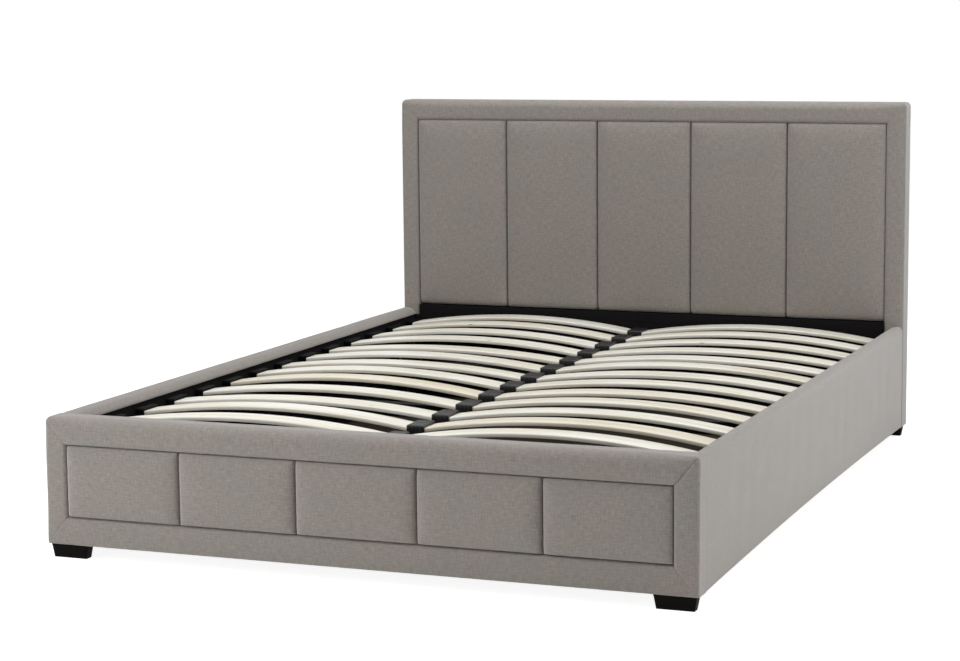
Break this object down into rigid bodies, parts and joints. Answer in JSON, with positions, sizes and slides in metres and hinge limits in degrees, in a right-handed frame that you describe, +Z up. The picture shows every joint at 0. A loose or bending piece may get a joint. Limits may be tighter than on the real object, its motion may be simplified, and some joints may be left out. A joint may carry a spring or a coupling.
{
  "type": "storage bed",
  "caption": "Upholstered double bed frame with a sprung slat deck that lifts at the foot end on gas struts over a storage well.",
  "frame": {"origin": "on the floor, in the middle of the bed's width and length", "axes": "+X to the right seen from the foot end, +Y from the foot end to the headboard, +Z up"},
  "size_m": [1.46, 2.026, 0.9],
  "materials": {
    "upholstery_fabric": "plain weave, taupe grey",
    "black_lining": "black non-woven cloth",
    "timber_board": "planed softwood and board",
    "slat_beech": "lacquered beech plywood",
    "black_plastic": "moulded black",
    "black_steel": "black powder coat",
    "zinc_steel": "zinc plated",
    "chrome_rod": "polished",
    "black_rubber": "matt",
    "hardboard": "hardboard, smooth side up"
  },
  "bodies": {
    "bed_base": {"base_battens": "timber_board", "base_panels": "hardboard", "centre_beam": "timber_board", "centre_feet": "black_plastic", "corner_bolts": "zinc_steel", "corner_brackets": "black_steel", "corner_feet": "black_plastic", "footboard_board": "timber_board", "footboard_border_bottom": "upholstery_fabric", "footboard_border_left": "upholstery_fabric", "footboard_border_right": "upholstery_fabric", "footboard_border_top": "upholstery_fabric", "footboard_lining": "black_lining", "footboard_panel_1": "upholstery_fabric", "footboard_panel_2": "upholstery_fabric", "footboard_panel_3": "upholstery_fabric", "footboard_panel_4": "upholstery_fabric", "footboard_panel_5": "upholstery_fabric", "headboard_back_cover": "black_lining", "headboard_board": "timber_board", "headboard_border_left": "upholstery_fabric", "headboard_border_right": "upholstery_fabric", "headboard_border_top": "upholstery_fabric", "headboard_lining": "black_lining", "headboard_lower_battens": "timber_board", "headboard_panel_1": "upholstery_fabric", "headboard_panel_2": "upholstery_fabric", "headboard_panel_3": "upholstery_fabric", "headboard_panel_4": "upholstery_fabric", "headboard_panel_5": "upholstery_fabric", "hinge_plate_left": "black_steel", "hinge_plate_right": "black_steel", "hinge_screws": "zinc_steel", "ledgers": "timber_board", "pivot_bolts": "zinc_steel", "rest_pads": "black_rubber", "side_rail_board_left": "timber_board", "side_rail_board_right": "timber_board", "side_rail_cover_left": "upholstery_fabric", "side_rail_cover_right": "upholstery_fabric", "side_rail_lining_left": "black_lining", "side_rail_lining_right": "black_lining"},
    "lift_frame": {"centre_holders": "black_plastic", "lift_arm_left": "black_steel", "lift_arm_right": "black_steel", "lift_cross_bars": "black_steel", "lift_rail_centre": "black_steel", "lift_rail_foot": "black_steel", "lift_rail_head": "black_steel", "lift_rail_left": "black_steel", "lift_rail_right": "black_steel", "slat_caps": "black_plastic", "slats_left": "slat_beech", "slats_right": "slat_beech", "tube_end_plugs": "black_plastic"},
    "cylinder_left": {"strut_cylinder_left": "black_steel"},
    "rod_left": {"strut_rod_left": "chrome_rod"},
    "cylinder_right": {"strut_cylinder_right": "black_steel"},
    "rod_right": {"strut_rod_right": "chrome_rod"}
  },
  "joints": [
    {"name": "lift_hinge", "type": "hinge", "parent": "bed_base", "child": "lift_frame", "pos_m": [0, 0.823, 0.245], "axis": [-1, 0, 0], "range_deg": [0, 40]},
    {"name": "cylinder_left_pivot", "type": "hinge", "parent": "bed_base", "child": "cylinder_left", "pos_m": [-0.661, 0.81484, 0.06], "axis": [-1, 0, 0], "range_deg": [0, 20]},
    {"name": "rod_left_pivot", "type": "hinge", "parent": "lift_frame", "child": "rod_left", "pos_m": [-0.661, 0.64219, 0.205], "axis": [-1, 0, 0], "range_deg": [-20, 0]},
    {"name": "cylinder_right_pivot", "type": "hinge", "parent": "bed_base", "child": "cylinder_right", "pos_m": [0.661, 0.81484, 0.06], "axis": [-1, 0, 0], "range_deg": [0, 20]},
    {"name": "rod_right_pivot", "type": "hinge", "parent": "lift_frame", "child": "rod_right", "pos_m": [0.661, 0.64219, 0.205], "axis": [-1, 0, 0], "range_deg": [-20, 0]}
  ],
  "couplings": [
    {"joint": "cylinder_left_pivot", "follows": "lift_hinge", "ratio": 0.5},
    {"joint": "rod_left_pivot", "follows": "lift_hinge", "ratio": -0.5},
    {"joint": "cylinder_right_pivot", "follows": "lift_hinge", "ratio": 0.5},
    {"joint": "rod_right_pivot", "follows": "lift_hinge", "ratio": -0.5}
  ]
}
